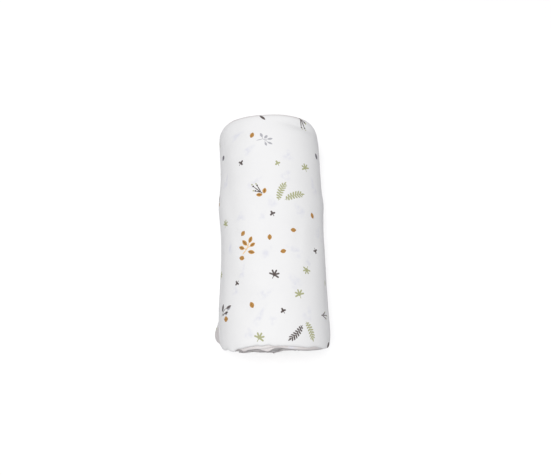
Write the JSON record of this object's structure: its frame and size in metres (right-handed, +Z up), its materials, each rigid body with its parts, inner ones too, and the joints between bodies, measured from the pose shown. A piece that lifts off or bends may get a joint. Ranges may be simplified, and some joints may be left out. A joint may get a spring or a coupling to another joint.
{
  "type": "rolled swaddle blanket",
  "caption": "Baby swaddle blanket of thin printed muslin, folded into a long strip and rolled up, lying on its side with its spiral ends showing.",
  "frame": {"origin": "on the surface the roll lies on, under the middle of its bounding box", "axes": "+Y along the roll, away from the end where the inner turns slide out; +Z up; +X to the right seen from that end, away from the strip's loose end"},
  "size_m": [0.101, 0.203, 0.0841],
  "materials": {
    "muslin": "matte woven cotton muslin with a small printed leaf pattern"
  },
  "bodies": {
    "root": {"rolled_muslin_cloth": "muslin"}
  },
  "joints": []
}
